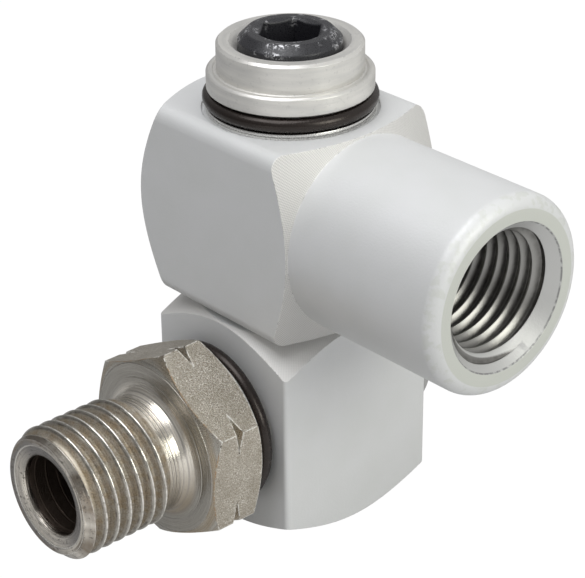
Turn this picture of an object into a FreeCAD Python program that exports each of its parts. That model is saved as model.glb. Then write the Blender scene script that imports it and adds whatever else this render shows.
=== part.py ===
import FreeCAD, Part
import math
import os

# A two-pivot swivel for a compressed-air hose. The origin is the centre of the flat base,
# +Z runs up the upright pivot, +X points out of the female port and -Y out of the male
# nipple. All sizes are in millimetres.

# Lower body: upright square bar, both ends turned to a shallow cone with a flat in the middle
bar_width = 19.05
lower_height = 22.45
lower_edge_radius = 0.5
lower_top_angle = 35.5
lower_top_rim = 0.2
lower_base_angle = 30.0
lower_base_rim = 1.2

# Upper body: level square bar a little wider than the lower one, plain cone at the back
# and a round boss at the front
upper_extra_width = 0.65
upper_edge_radius = 1.5
upper_back_overhang = 2.55
upper_back_angle = 39.0
upper_back_rim = 1.55
boss_root_overhang = 0.3
boss_root_angle = 29.5
boss_rim = 0.17
boss_length = 18.45
boss_mouth_rounding = 1.4

# Quarter-inch pipe thread, 18 to the inch, as a row of V grooves one pitch apart
pipe_thread_radius = 6.58
pipe_thread_depth = 0.83
pipe_thread_pitch = 1.411
pipe_thread_land = 0.24
port_thread_depth = 14.0
port_thread_run_out = 1.5
port_countersink_lead = 0.7
port_passage_radius = 4.5
drill_point_angle = 59.0

# Clearances
running_clearance = 0.03
end_play = 0.05
thread_clearance = 0.02

# Upright pivot: a hollow stem screwed into the lower body
stem_radius = 7.05
stem_bore_radius = 3.25
stem_foot_radius = 5.0
stem_foot_length = 3.3
stem_foot_end_room = 0.2
foot_gland_width = 1.5
foot_seal_section = 0.85
foot_seal_corner = 0.25
stem_top_above_body = 6.7
stem_countersink_lead = 0.82
stem_top_rounding = 0.25

# Air gallery turned in each pivot, with cross holes into its bore
gallery_depth = 1.15
stem_gallery_length = 9.0
nipple_gallery_length = 6.0
cross_hole_radius = 2.25
cross_hole_count = 4

# Shaft seals, drawn squeezed between groove floor and bore
seal_groove_depth = 1.35
seal_groove_width = 2.3
seal_width = 1.9
seal_corner = 0.4
seal_squeeze_room = 0.01
seal_inset = 2.9

# Stack on top of the upper body: spot face, washer, ring seal, collar
spot_face_room = 0.4
spot_face_depth = 0.2
top_washer_rim = 1.1
top_washer_thickness = 0.6
dust_ring_section = 1.4
dust_ring_lift = 0.07
collar_wall = 0.99
collar_bottom_above_body = 2.05
collar_height = 1.85
collar_edge_break = 0.25

# Thrust washer between the two bodies
parting_washer_thickness = 0.3
parting_washer_rim = 0.87

# Plug screw in the stem's head
plug_radius = 5.0
plug_length = 8.0
plug_proud_height = 0.93
plug_face_chamfer = 0.82
plug_socket_across_flats = 5.5
plug_socket_depth = 4.5
plug_socket_turn = 11.0
plug_socket_chamfer = 0.08
plug_tip_chamfer = 0.8
plug_seal_thickness = 0.8

# Male nipple on the level pivot
nipple_axis_height = 11.8
nipple_front_length = 12.9
nipple_end_chamfer = 0.78
nipple_thread_length = 8.69
nipple_bore_radius = 4.0
nipple_bore_depth = 19.0
nipple_bore_chamfer = 0.17
nipple_neck_length = 1.76
nipple_flare_height = 1.55
hex_gap = 2.475
hex_length = 6.2
hex_under_bar = 1.25
hex_turn = 25.4
hex_chamfer_angle = 30.0
hex_face_rim = 0.15
hex_groove_depth = 0.98
hex_groove_half_width = 0.45
shank_radius = 5.97
shank_bore_radius = 3.25
gallery_overlap = 0.1
hub_wall = 1.08
hex_washer_rim = 1.23
hex_washer_thickness = 0.5

# Retainer behind the lower body: washer, collar and countersunk screw
rear_washer_thickness = 0.3
rear_washer_rim = 0.8
rear_collar_rim = 1.08
rear_collar_length = 3.2
rear_collar_edge_break = 0.4
rear_screw_radius = 3.0
rear_screw_length = 8.0
rear_screw_hole_spare = 0.3
rear_screw_head_rise = 2.5
rear_screw_head_rim = 0.25
rear_screw_socket_across_flats = 4.5
rear_screw_socket_depth = 2.4
rear_screw_head_recess = 0.1

# Worked out from the sizes above
bar_half = bar_width / 2
upper_width = bar_width + upper_extra_width
upper_half = upper_width / 2
bar_corner_radius = max(bar_half, upper_half) * math.sqrt(2)
lower_top_radius = bar_half - lower_top_rim
lower_base_radius = bar_half - lower_base_rim
upper_back_reach = upper_half + upper_back_overhang
upper_back_flat_radius = upper_half - upper_back_rim
boss_root_reach = upper_half + boss_root_overhang
boss_radius = upper_half - boss_rim
boss_reach = boss_root_reach + boss_length
port_countersink_radius = pipe_thread_radius + port_countersink_lead
port_bore_radius = pipe_thread_radius - pipe_thread_depth

parting_gap = parting_washer_thickness + end_play
upper_bottom = lower_height + parting_gap
port_axis_height = upper_bottom + upper_half
upper_top = upper_bottom + upper_width
stem_hole_radius = stem_radius + running_clearance
stem_top = upper_top + stem_top_above_body
parting_washer_radius = stem_hole_radius + parting_washer_rim

plug_top = stem_top + plug_proud_height
plug_bottom = plug_top - plug_length
plug_seat = plug_bottom - plug_seal_thickness
plug_face_radius = plug_radius - thread_clearance - plug_face_chamfer

top_washer_radius = stem_radius + top_washer_rim
top_washer_top = upper_top - spot_face_depth + top_washer_thickness
spot_face_radius = top_washer_radius + spot_face_room
collar_radius = stem_radius + collar_wall
collar_bottom = upper_top + collar_bottom_above_body
collar_top = collar_bottom + collar_height

hex_rear_reach = bar_half + hex_gap
hex_front_reach = hex_rear_reach + hex_length
nipple_reach = hex_front_reach + nipple_front_length
hex_across_flats = bar_width - hex_under_bar
hex_corner_radius = hex_across_flats / math.sqrt(3)
hex_chamfer_radius = hex_across_flats / 2 - hex_face_rim
hex_groove_floor_radius = hex_corner_radius - hex_groove_depth
nipple_neck_radius = pipe_thread_radius - pipe_thread_depth
nipple_flare_radius = nipple_neck_radius + nipple_flare_height
shank_hole_radius = shank_radius + running_clearance
shank_bore_end = nipple_gallery_length / 2 + gallery_overlap
hub_radius = shank_radius + hub_wall
hub_reach = bar_half + end_play
hex_washer_radius = hub_radius + hex_washer_rim

rear_collar_front = bar_half + end_play + rear_washer_thickness
rear_collar_back = rear_collar_front + rear_collar_length
rear_collar_radius = shank_radius + rear_collar_rim
rear_washer_radius = shank_hole_radius + rear_washer_rim
rear_screw_head_radius = rear_screw_radius + rear_screw_head_rise
overrun = 1.0


def turned(axis, start, steps):
    """A solid of revolution from (radius, along) steps; a step of four values is an arc."""
    spots = {
        "X": lambda radius, along: FreeCAD.Vector(along, 0, radius),
        "Y": lambda radius, along: FreeCAD.Vector(radius, along, 0),
        "Z": lambda radius, along: FreeCAD.Vector(radius, 0, along),
    }
    directions = {"X": (1, 0, 0), "Y": (0, 1, 0), "Z": (0, 0, 1)}
    place = spots[axis]
    first = place(*start)
    here = first
    edges = []
    for step in steps:
        there = place(*step[-2:])
        if len(step) == 4:
            edges.append(Part.Arc(here, place(*step[:2]), there).toShape())
        else:
            edges.append(Part.makeLine(here, there))
        here = there
    edges.append(Part.makeLine(here, first))
    face = Part.Face(Part.Wire(edges))
    solid = face.revolve(FreeCAD.Vector(), FreeCAD.Vector(*directions[axis]), 360)
    if solid.Volume < 0:
        solid.reverse()
    return solid


def thread_grooves(surface_radius, groove_radius, start, turns):
    """Steps of a turned shape: a row of V grooves, one pitch apart, cut from start onwards."""
    half_groove = (pipe_thread_pitch - pipe_thread_land) / 2
    steps = []
    for turn in range(turns):
        middle = start + pipe_thread_pitch * turn + pipe_thread_pitch / 2
        steps += [
            (surface_radius, middle - half_groove),
            (groove_radius, middle),
            (surface_radius, middle + half_groove),
        ]
    return steps


def ring(axis, inner, outer, low, high):
    return turned(axis, (inner, low), [(outer, low), (outer, high), (inner, high)])


def flattened_ring(axis, inner, outer, low, high, corner):
    """A ring whose section is pressed flat on its four sides."""
    return turned(axis, (inner + corner, low), [
        (outer - corner, low),
        (outer, low + corner),
        (outer, high - corner),
        (outer - corner, high),
        (inner + corner, high),
        (inner, high - corner),
        (inner, low + corner),
    ])


def rod(axis, radius, low, high):
    return turned(axis, (0, low), [(radius, low), (radius, high), (0, high)])


def at_nipple_axis(solid):
    solid.translate(FreeCAD.Vector(0, 0, nipple_axis_height))
    return solid


def at_port_axis(solid):
    solid.translate(FreeCAD.Vector(0, 0, port_axis_height))
    return solid


def square_bar(axis, width, low, high, edge_radius):
    """A length of square bar with rounded long edges, along Z or X."""
    bar = Part.makeBox(width, width, high - low, FreeCAD.Vector(-width / 2, -width / 2, low))
    long_edges = [edge for edge in bar.Edges if abs(edge.tangentAt(edge.FirstParameter).z) > 0.9]
    bar = bar.makeFillet(edge_radius, long_edges)
    if axis == "X":
        bar.rotate(FreeCAD.Vector(), FreeCAD.Vector(0, 1, 0), 90)
    return bar


def cone_rise(angle, radius):
    """How far a turned cone falls back from the flat of that radius to past the bar's corner."""
    return (bar_corner_radius + overrun - radius) * math.tan(math.radians(angle))


def hexagon(axis, across_flats, low, high, turn):
    corner = across_flats / math.sqrt(3)
    spots = []
    for number in range(6):
        angle = math.radians(turn + 60 * number)
        side = corner * math.cos(angle)
        rise = corner * math.sin(angle)
        if axis == "Z":
            spots.append(FreeCAD.Vector(side, rise, low))
        else:
            spots.append(FreeCAD.Vector(side, low, rise))
    spots.append(spots[0])
    length = high - low
    travel = FreeCAD.Vector(0, 0, length) if axis == "Z" else FreeCAD.Vector(0, length, 0)
    return Part.Face(Part.makePolygon(spots)).extrude(travel)


def cross_holes(axis, reach):
    """Radial drillings through one pivot, evenly spaced round it."""
    holes = []
    direction = FreeCAD.Vector(0, 0, 1) if axis == "Z" else FreeCAD.Vector(0, 1, 0)
    for number in range(cross_hole_count):
        hole = Part.makeCylinder(cross_hole_radius, reach, FreeCAD.Vector(), FreeCAD.Vector(1, 0, 0))
        hole.rotate(FreeCAD.Vector(), direction, number * 360 / cross_hole_count)
        holes.append(hole)
    return holes


def squeezed_seal(axis, floor_radius, bore_radius, middle):
    inner = floor_radius + seal_squeeze_room
    outer = bore_radius - seal_squeeze_room
    low = middle - seal_width / 2
    return flattened_ring(axis, inner, outer, low, low + seal_width, seal_corner)


def seal_groove(axis, pivot_radius, middle):
    floor = pivot_radius - seal_groove_depth
    low = middle - seal_groove_width / 2
    return ring(axis, floor, pivot_radius + overrun, low, low + seal_groove_width)


def gallery_groove(axis, pivot_radius, length, middle):
    floor = pivot_radius - gallery_depth
    return ring(axis, floor, pivot_radius + overrun, middle - length / 2, middle + length / 2)


def lower_body():
    base_rise = cone_rise(lower_base_angle, lower_base_radius)
    top_rise = cone_rise(lower_top_angle, lower_top_radius)
    wide = bar_corner_radius + overrun
    envelope = turned("Z", (0, 0), [
        (lower_base_radius, 0),
        (wide, base_rise),
        (wide, lower_height - top_rise),
        (lower_top_radius, lower_height),
        (0, lower_height),
    ])
    body = square_bar("Z", bar_width, 0, lower_height, lower_edge_radius).common(envelope)
    hole_floor = lower_height - stem_foot_length - stem_foot_end_room
    tapped_hole = turned("Z", (0, hole_floor), [
        (stem_foot_radius, hole_floor),
        (stem_foot_radius, lower_height - foot_gland_width),
        (stem_foot_radius + foot_gland_width, lower_height),
        (0, lower_height),
    ])
    passage = rod("Z", stem_bore_radius, nipple_axis_height, lower_height)
    shank_hole = at_nipple_axis(rod("Y", shank_hole_radius, -bar_width, bar_width))
    return body.cut([tapped_hole, passage, shank_hole])


def upper_body():
    back_rise = cone_rise(upper_back_angle, upper_back_flat_radius)
    front_rise = cone_rise(boss_root_angle, boss_radius)
    wide = bar_corner_radius + overrun
    rounding = boss_mouth_rounding
    slant = rounding * (1 - math.sqrt(0.5))
    envelope = turned("X", (0, -upper_back_reach), [
        (upper_back_flat_radius, -upper_back_reach),
        (wide, back_rise - upper_back_reach),
        (wide, boss_root_reach - front_rise),
        (boss_radius, boss_root_reach),
        (boss_radius, boss_reach - rounding),
        (boss_radius - slant, boss_reach - slant, boss_radius - rounding, boss_reach),
        (0, boss_reach),
    ])
    body = square_bar("X", upper_width, -upper_back_reach, boss_reach, upper_edge_radius).common(envelope)
    port_end = boss_reach - port_thread_depth
    thread_start = boss_reach - port_countersink_radius + port_bore_radius
    turns = int((thread_start - port_end - port_thread_run_out) // pipe_thread_pitch)
    drill_point = (port_bore_radius - port_passage_radius) / math.tan(math.radians(drill_point_angle))
    port = turned("X", (0, 0), [
        (port_passage_radius, 0),
        (port_passage_radius, port_end - drill_point),
        (port_bore_radius, port_end),
        *thread_grooves(port_bore_radius, pipe_thread_radius, thread_start - turns * pipe_thread_pitch, turns),
        (port_bore_radius, thread_start),
        (port_countersink_radius, boss_reach),
        (0, boss_reach),
    ])
    stem_hole = rod("Z", stem_hole_radius, upper_bottom - overrun, upper_top + overrun)
    spot_face = rod("Z", spot_face_radius, upper_top - spot_face_depth, upper_top + overrun)
    return at_port_axis(body).cut([at_port_axis(port), stem_hole, spot_face])


def stem_seal_heights():
    return upper_bottom + seal_inset, upper_top - seal_inset


def pivot_stem():
    stem = turned("Z", (stem_bore_radius, lower_height - stem_foot_length), [
        (stem_foot_radius - thread_clearance, lower_height - stem_foot_length),
        (stem_foot_radius - thread_clearance, lower_height),
        (stem_radius, lower_height),
        (stem_radius, stem_top - stem_top_rounding),
        (stem_radius - stem_top_rounding, stem_top),
        (plug_radius + stem_countersink_lead, stem_top),
        (plug_radius, stem_top - stem_countersink_lead),
        (plug_radius, plug_seat),
        (stem_bore_radius, plug_seat),
    ])
    holes = [at_port_axis(hole) for hole in cross_holes("Z", stem_radius + overrun)]
    grooves = [seal_groove("Z", stem_radius, height) for height in stem_seal_heights()]
    gallery = gallery_groove("Z", stem_radius, stem_gallery_length, port_axis_height)
    return stem.cut(holes + grooves + [gallery])


def stem_seal(height):
    return squeezed_seal("Z", stem_radius - seal_groove_depth, stem_hole_radius, height)


def stem_foot_seal():
    low = lower_height - foot_seal_section
    outer = stem_foot_radius + foot_seal_section
    return flattened_ring("Z", stem_foot_radius, outer, low, lower_height, foot_seal_corner)


def parting_washer():
    low = lower_height
    return ring("Z", stem_hole_radius, parting_washer_radius, low, low + parting_washer_thickness)


def top_washer():
    low = upper_top - spot_face_depth
    return ring("Z", stem_hole_radius, top_washer_radius, low, top_washer_top)


def top_dust_ring():
    middle_radius = stem_radius + dust_ring_section / 2
    height = top_washer_top + dust_ring_lift + dust_ring_section / 2
    middle = FreeCAD.Vector(0, 0, height)
    return Part.makeTorus(middle_radius, dust_ring_section / 2, middle, FreeCAD.Vector(0, 0, 1))


def retaining_collar():
    edge = collar_edge_break
    return turned("Z", (stem_radius, collar_bottom), [
        (collar_radius - edge / 2, collar_bottom),
        (collar_radius, collar_bottom + edge / 2),
        (collar_radius, collar_top - edge),
        (collar_radius - edge, collar_top),
        (stem_radius, collar_top),
    ])


def plug_screw():
    outer = plug_radius - thread_clearance
    body = turned("Z", (0, plug_bottom), [
        (outer - plug_tip_chamfer, plug_bottom),
        (outer, plug_bottom + plug_tip_chamfer),
        (outer, plug_top - plug_face_chamfer),
        (plug_face_radius, plug_top),
        (0, plug_top),
    ])
    floor = plug_top - plug_socket_depth
    socket = hexagon("Z", plug_socket_across_flats, floor, plug_top + overrun, plug_socket_turn)
    mouth_radius = plug_socket_across_flats / math.sqrt(3) + plug_socket_chamfer
    mouth_floor = plug_socket_across_flats / 2
    mouth_depth = (mouth_radius - mouth_floor) / 2
    mouth = turned("Z", (0, plug_top - mouth_depth), [
        (mouth_floor, plug_top - mouth_depth),
        (mouth_radius, plug_top),
        (0, plug_top),
    ])
    return body.cut([socket, mouth])


def plug_seal():
    return ring("Z", stem_bore_radius, plug_radius - plug_tip_chamfer, plug_seat, plug_bottom)


def nipple_outline():
    """The turned shape of the nipple from its threaded end to the shank's end."""
    thread_start = nipple_end_chamfer - nipple_reach
    thread_end = thread_start + nipple_thread_length
    turns = int(nipple_thread_length // pipe_thread_pitch)
    neck_end = thread_end + nipple_neck_length
    hex_front = -hex_front_reach
    flare_run = hex_front - neck_end
    bend = 1 - math.sqrt(0.5)
    flare_middle = (nipple_neck_radius + bend * nipple_flare_height, hex_front - bend * flare_run)
    corner = hex_corner_radius + overrun
    chamfer = (corner - hex_chamfer_radius) * math.tan(math.radians(hex_chamfer_angle))
    hex_rear = -hex_rear_reach
    return turned("Y", (0, -nipple_reach), [
        (pipe_thread_radius - nipple_end_chamfer, -nipple_reach),
        (pipe_thread_radius, thread_start),
        *thread_grooves(pipe_thread_radius, nipple_neck_radius, thread_start, turns),
        (pipe_thread_radius, thread_end),
        (nipple_neck_radius, thread_end + pipe_thread_depth),
        (nipple_neck_radius, neck_end),
        (*flare_middle, nipple_flare_radius, hex_front),
        (hex_chamfer_radius, hex_front),
        (corner, hex_front + chamfer),
        (corner, hex_rear - chamfer),
        (hex_chamfer_radius, hex_rear),
        (hub_radius, hex_rear),
        (hub_radius, -hub_reach),
        (shank_radius, -hub_reach),
        (shank_radius, rear_collar_front),
        (0, rear_collar_front),
    ])


def nipple_seal_places():
    return seal_inset - bar_half, bar_half - seal_inset


def male_nipple():
    hex_bar = hexagon("Y", hex_across_flats, -hex_front_reach, -hex_rear_reach, hex_turn)
    front = rod("Y", nipple_flare_radius, -nipple_reach, -hex_front_reach)
    rear = rod("Y", hub_radius, -hex_rear_reach, rear_collar_front)
    nipple = nipple_outline().common(hex_bar.fuse([front, rear]))
    groove_middle = -(hex_front_reach + hex_rear_reach) / 2
    groove_reach = hex_across_flats
    groove_slope = hex_groove_half_width / hex_groove_depth
    groove_spread = groove_slope * (groove_reach - hex_groove_floor_radius)
    hex_groove = turned("Y", (hex_groove_floor_radius, groove_middle), [
        (groove_reach, groove_middle - groove_spread),
        (groove_reach, groove_middle + groove_spread),
    ])
    mouth = nipple_bore_radius + nipple_bore_chamfer
    bore_end = nipple_bore_depth - nipple_reach
    bore = turned("Y", (0, -nipple_reach), [
        (mouth, -nipple_reach),
        (nipple_bore_radius, -nipple_reach + nipple_bore_chamfer),
        (nipple_bore_radius, bore_end),
        (shank_bore_radius, bore_end + nipple_bore_radius - shank_bore_radius),
        (shank_bore_radius, shank_bore_end),
        (0, shank_bore_end),
    ])
    screw_hole_depth = rear_screw_length - rear_collar_length + rear_screw_hole_spare
    screw_hole = rod("Y", rear_screw_radius, rear_collar_front - screw_hole_depth, rear_collar_front)
    grooves = [seal_groove("Y", shank_radius, place) for place in nipple_seal_places()]
    gallery = gallery_groove("Y", shank_radius, nipple_gallery_length, 0)
    cuts = [hex_groove, bore, screw_hole, gallery] + grooves + cross_holes("Y", hub_radius)
    return at_nipple_axis(nipple.cut(cuts))


def nipple_seal(place):
    floor = shank_radius - seal_groove_depth
    return at_nipple_axis(squeezed_seal("Y", floor, shank_hole_radius, place))


def hex_washer():
    low = -hex_rear_reach
    inner = hub_radius + thread_clearance
    return at_nipple_axis(ring("Y", inner, hex_washer_radius, low, low + hex_washer_thickness))


def hex_dust_ring():
    middle_radius = hub_radius + dust_ring_section / 2
    place = -hex_rear_reach + hex_washer_thickness + dust_ring_lift + dust_ring_section / 2
    middle = FreeCAD.Vector(0, place, 0)
    dust_ring = Part.makeTorus(middle_radius, dust_ring_section / 2, middle, FreeCAD.Vector(0, 1, 0))
    return at_nipple_axis(dust_ring)


def rear_washer():
    low = bar_half + end_play
    inner = shank_hole_radius
    return at_nipple_axis(ring("Y", inner, rear_washer_radius, low, low + rear_washer_thickness))


def rear_screw_outline(radius, head_radius, front, rim):
    """Countersunk screw or its seat: shank radius, head radius, tip place and rim height."""
    face = rear_collar_back - rear_screw_head_recess
    cone_end = face - rim - (head_radius - radius)
    return turned("Y", (0, front), [
        (radius, front),
        (radius, cone_end),
        (head_radius, face - rim),
        (head_radius, face),
        (0, face),
    ])


def rear_collar():
    edge = rear_collar_edge_break
    body = turned("Y", (0, rear_collar_front), [
        (rear_collar_radius, rear_collar_front),
        (rear_collar_radius, rear_collar_back - edge),
        (rear_collar_radius - edge, rear_collar_back),
        (0, rear_collar_back),
    ])
    hole_radius = rear_screw_radius + thread_clearance
    head_radius = rear_screw_head_radius + thread_clearance
    rim = rear_screw_head_rim
    seat = rear_screw_outline(hole_radius, head_radius, rear_collar_front - overrun, rim)
    face = rear_collar_back - rear_screw_head_recess
    mouth = rod("Y", head_radius, face - rim, rear_collar_back + overrun)
    return at_nipple_axis(body.cut([seat, mouth]))


def rear_screw():
    tip = rear_collar_back - rear_screw_length
    radius = rear_screw_radius - thread_clearance
    screw = rear_screw_outline(radius, rear_screw_head_radius, tip, rear_screw_head_rim)
    face = rear_collar_back - rear_screw_head_recess
    floor = face - rear_screw_socket_depth
    socket = hexagon("Y", rear_screw_socket_across_flats, floor, face + overrun, 0)
    return at_nipple_axis(screw.cut(socket))


os.makedirs("parts", exist_ok=True)
lower_seal_height, upper_seal_height = stem_seal_heights()
front_seal_place, rear_seal_place = nipple_seal_places()
pieces = {
    "lower_body": lower_body(),
    "upper_body": upper_body(),
    "pivot_stem": pivot_stem(),
    "stem_foot_seal": stem_foot_seal(),
    "stem_lower_seal": stem_seal(lower_seal_height),
    "stem_upper_seal": stem_seal(upper_seal_height),
    "parting_washer": parting_washer(),
    "top_washer": top_washer(),
    "top_dust_ring": top_dust_ring(),
    "retaining_collar": retaining_collar(),
    "plug_screw": plug_screw(),
    "plug_seal": plug_seal(),
    "male_nipple": male_nipple(),
    "nipple_front_seal": nipple_seal(front_seal_place),
    "nipple_rear_seal": nipple_seal(rear_seal_place),
    "hex_washer": hex_washer(),
    "hex_dust_ring": hex_dust_ring(),
    "rear_washer": rear_washer(),
    "rear_collar": rear_collar(),
    "rear_screw": rear_screw(),
}
for name, shape in pieces.items():
    solids = shape.Solids
    print(name, shape.isValid(), len(solids), round(shape.Volume, 2))
    shape.exportStep("parts/" + name + ".step")
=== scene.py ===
import math
from types import SimpleNamespace

import bmesh
import bpy
from mathutils import Matrix, Vector


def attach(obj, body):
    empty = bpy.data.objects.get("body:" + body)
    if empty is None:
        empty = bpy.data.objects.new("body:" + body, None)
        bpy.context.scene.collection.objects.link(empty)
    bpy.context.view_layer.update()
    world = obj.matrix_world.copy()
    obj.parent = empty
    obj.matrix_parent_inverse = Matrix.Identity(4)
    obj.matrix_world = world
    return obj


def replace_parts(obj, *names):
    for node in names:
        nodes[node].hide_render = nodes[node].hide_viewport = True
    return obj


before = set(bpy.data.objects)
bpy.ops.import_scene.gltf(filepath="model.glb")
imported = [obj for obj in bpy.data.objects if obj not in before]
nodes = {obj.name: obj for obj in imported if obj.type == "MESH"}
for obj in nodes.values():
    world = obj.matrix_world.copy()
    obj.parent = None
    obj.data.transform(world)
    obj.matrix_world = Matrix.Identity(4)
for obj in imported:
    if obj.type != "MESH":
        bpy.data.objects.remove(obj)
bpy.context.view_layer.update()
print("frame loaded:", len(nodes), "nodes")

millimetre = 0.001

# Heights of the two level axes, in millimetres
layout = {
    "nippleAxisHeight": 11.8,
    "portAxisHeight": 32.65,
}


def levelAxis(height, turnedAbout):
    return Matrix.Translation((0, 0, height)) @ Matrix.Rotation(math.radians(90), 4, turnedAbout)


# Turns that carry a piece drawn along +Z to its own axis
upright = Matrix.Identity(4)
alongNipple = levelAxis(layout["nippleAxisHeight"], "X")
alongPort = levelAxis(layout["portAxisHeight"], "Y")


# Mesh helpers. Pieces are drawn in millimetres along +Z, and only a CAD mesh is merged in metres.
tolerance = {
    "piece": 0.0004,
    "turns": 0.002,
    "cad": 1e-7,
    "cut": 0.0001,
    "loop": 0.002,
    "sharpAngle": 25,
}


def mergeClose(bm, distance):
    bmesh.ops.remove_doubles(bm, verts=bm.verts[:], dist=distance)


def drawProfile(bm, points, closed=True):
    verts = [bm.verts.new((radius, 0, along)) for radius, along in points]
    for pair in zip(verts, verts[1:]):
        bm.edges.new(pair)
    if closed:
        bm.edges.new((verts[-1], verts[0]))
    return verts


def spinRound(bm, steps, rise=0.0):
    bmesh.ops.spin(
        bm, geom=bm.verts[:] + bm.edges[:], cent=(0, 0, 0), axis=(0, 0, 1), dvec=(0, 0, rise / steps),
        angle=math.tau, steps=steps, use_merge=rise == 0.0, use_duplicate=False)


def softenEdges(bm, width):
    limit = math.radians(tolerance["sharpAngle"])
    sharp = [edge for edge in bm.edges if edge.is_manifold and edge.calc_face_angle(0) > limit]
    bmesh.ops.bevel(bm, geom=sharp, offset=width, segments=2, profile=0.5,
                    affect="EDGES", material=-1, clamp_overlap=True)


def cutAcross(bm, along, keepAbove):
    geom = bm.verts[:] + bm.edges[:] + bm.faces[:]
    bmesh.ops.bisect_plane(
        bm, geom=geom, dist=tolerance["cut"], plane_co=(0, 0, along), plane_no=(0, 0, 1),
        clear_inner=keepAbove, clear_outer=not keepAbove)


def openLoop(bm, along):
    return [edge for edge in bm.edges if edge.is_boundary
            and all(abs(vert.co.z - along) < tolerance["loop"] for vert in edge.verts)]


def growLoop(bm, edges, stations):
    for radius, along in stations:
        grown = bmesh.ops.extrude_edge_only(bm, edges=edges)
        edges = [item for item in grown["geom"] if isinstance(item, bmesh.types.BMEdge)]
        for vert in {vert for edge in edges for vert in edge.verts}:
            scale = radius / math.hypot(vert.co.x, vert.co.y)
            vert.co = Vector((vert.co.x * scale, vert.co.y * scale, along))
    return edges


def setRadii(bm, newRadius):
    for vert in bm.verts:
        radius = math.hypot(vert.co.x, vert.co.y)
        scale = newRadius(radius, vert.co.z) / radius
        vert.co.x *= scale
        vert.co.y *= scale


def copyCad(nodeName, place):
    bm = bmesh.new()
    bm.from_mesh(nodes[nodeName].data)
    mergeClose(bm, tolerance["cad"])
    toAxis = (Matrix.Scale(millimetre, 4) @ place).inverted()
    bmesh.ops.transform(bm, matrix=toAxis, verts=bm.verts[:])
    return bm


def finishPiece(bm, name, body, material, place, smoothLimit=32.0):
    mergeClose(bm, tolerance["piece"])
    bmesh.ops.recalc_face_normals(bm, faces=bm.faces[:])
    for face in bm.faces:
        face.smooth = True
    for edge in bm.edges:
        edge.smooth = edge.calc_face_angle(0) < math.radians(smoothLimit)
    bmesh.ops.transform(bm, matrix=Matrix.Scale(millimetre, 4) @ place, verts=bm.verts[:])
    mesh = bpy.data.meshes.new(name)
    bm.to_mesh(mesh)
    bm.free()
    mesh.materials.append(material)
    piece = bpy.data.objects.new(name, mesh)
    bpy.context.scene.collection.objects.link(piece)
    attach(piece, body)
    return piece


def turnedPiece(name, size, body, material, place):
    bm = bmesh.new()
    drawProfile(bm, size["profile"])
    spinRound(bm, size["steps"])
    mergeClose(bm, tolerance["piece"])
    softenEdges(bm, size["edge"])
    return finishPiece(bm, name, body, material, place)


# Shader helpers. A value is a number, a colour or the socket it comes from.
def plug(tree, socket, value):
    if isinstance(value, bpy.types.NodeSocket):
        tree.links.new(value, socket)
    else:
        socket.default_value = value


def addNode(tree, kind, values=None, **settings):
    node = tree.nodes.new(kind)
    for key, value in settings.items():
        setattr(node, key, value)
    for key, value in (values or {}).items():
        plug(tree, node.inputs[key], value)
    return node


def mathNode(tree, operation, first, second=0.0):
    return addNode(tree, "ShaderNodeMath", {0: first, 1: second}, operation=operation).outputs[0]


def vectorNode(tree, operation, first, second=(0, 0, 0)):
    return addNode(tree, "ShaderNodeVectorMath", {0: first, 1: second}, operation=operation)


def product(tree, *values):
    result = values[0]
    for value in values[1:]:
        result = mathNode(tree, "MULTIPLY", result, value)
    return result


def remap(tree, value, low, high, toLow=0.0, toHigh=1.0):
    return addNode(tree, "ShaderNodeMapRange", {
        "Value": value, "From Min": low, "From Max": high, "To Min": toLow, "To Max": toHigh,
    }).outputs["Result"]


# Carries a mask of 0 to 1 to another range
def spread(tree, mask, toLow, toHigh):
    return remap(tree, mask, 0.0, 1.0, toLow, toHigh)


def band(tree, value, low, high, soft):
    return product(tree, remap(tree, value, low - soft, low), remap(tree, value, high + soft, high))


def waves(tree, value, pitch):
    return mathNode(tree, "SINE", product(tree, value, math.tau / pitch))


def mixColours(tree, mask, first, second):
    node = addNode(tree, "ShaderNodeMix", {"Factor": mask}, data_type="RGBA")
    for index, value in ((6, first), (7, second)):
        plug(tree, node.inputs[index], value if isinstance(value, bpy.types.NodeSocket) else (*value, 1.0))
    return node.outputs[2]


# Lays each colour of the list over the last one, where its mask says
def layOver(tree, colour, layers):
    for mask, over in layers:
        colour = mixColours(tree, mask, colour, over)
    return colour


def darker(colour, share):
    return tuple(share * part for part in colour)


# Node groups that the materials share
def startGroup(name, inputs, outputs):
    group = bpy.data.node_groups.new(name, "ShaderNodeTree")
    for socketName, kind, value in inputs:
        socket = group.interface.new_socket(socketName, in_out="INPUT", socket_type=kind)
        if value is not None:
            socket.default_value = value
    for socketName, kind in outputs:
        group.interface.new_socket(socketName, in_out="OUTPUT", socket_type=kind)
    given = group.nodes.new("NodeGroupInput").outputs
    result = group.nodes.new("NodeGroupOutput").inputs
    return group, given, result


# A place's coordinates, and the part of it that lies square to the Z axis
def splitPlace(tree, place):
    parts = addNode(tree, "ShaderNodeSeparateXYZ", {0: place}).outputs
    flat = addNode(tree, "ShaderNodeCombineXYZ", {"X": parts["X"], "Y": parts["Y"]}).outputs[0]
    return parts, flat


def lengthOf(tree, vector):
    return vectorNode(tree, "LENGTH", vector).outputs["Value"]


def makeRoundAxis():
    group, given, result = startGroup(
        "roundAxis",
        [("Place", "NodeSocketVector", None)],
        [("Radius", "NodeSocketFloat"), ("Along", "NodeSocketFloat"), ("Angle", "NodeSocketFloat")])
    parts, flat = splitPlace(group, given["Place"])
    plug(group, result["Radius"], lengthOf(group, flat))
    plug(group, result["Along"], parts["Z"])
    plug(group, result["Angle"], mathNode(group, "ARCTAN2", parts["Y"], parts["X"]))
    return group


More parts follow.
